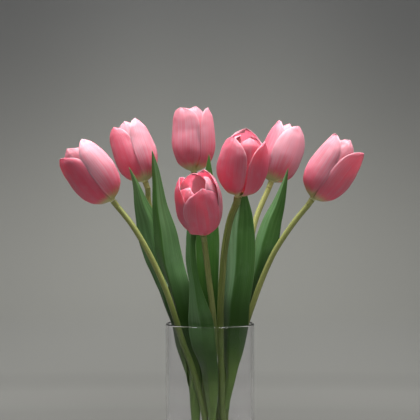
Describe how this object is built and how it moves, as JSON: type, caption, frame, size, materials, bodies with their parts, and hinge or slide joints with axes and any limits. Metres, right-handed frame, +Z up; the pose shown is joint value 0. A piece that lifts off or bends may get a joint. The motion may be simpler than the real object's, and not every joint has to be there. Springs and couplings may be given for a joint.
{
  "type": "vase of tulips",
  "caption": "Half-closed cut tulips with long leaves, their stems crossed in a clear glass cylinder vase part-filled with water.",
  "frame": {"origin": "centre of the vase's flat underside, where it stands on a table", "axes": "+Z up the vase and out of its mouth, -Y towards the front that the picture shows, +X to its right"},
  "size_m": [0.309, 0.187, 0.4248],
  "materials": {
    "clear glass": "clear polished glass",
    "water": "clear water",
    "stem green": "smooth fresh stem, slightly waxy",
    "leaf green": "fresh leaf with a matte waxy bloom and fine lengthwise veins",
    "petal pink": "silky petal with fine lengthwise streaks"
  },
  "bodies": {
    "root": {"vase": "clear glass", "water": "water", "stem_1": "stem green", "stem_2": "stem green", "stem_3": "stem green", "stem_4": "stem green", "stem_5": "stem green", "stem_6": "stem green", "stem_7": "stem green", "bloom_1": "petal pink", "bloom_2": "petal pink", "bloom_3": "petal pink", "bloom_4": "petal pink", "bloom_5": "petal pink", "bloom_6": "petal pink", "bloom_7": "petal pink", "leaf_1": "leaf green", "leaf_2": "leaf green", "leaf_3": "leaf green", "leaf_4": "leaf green", "leaf_5": "leaf green", "leaf_6": "leaf green", "leaf_7": "leaf green", "leaf_8": "leaf green"}
  },
  "joints": []
}
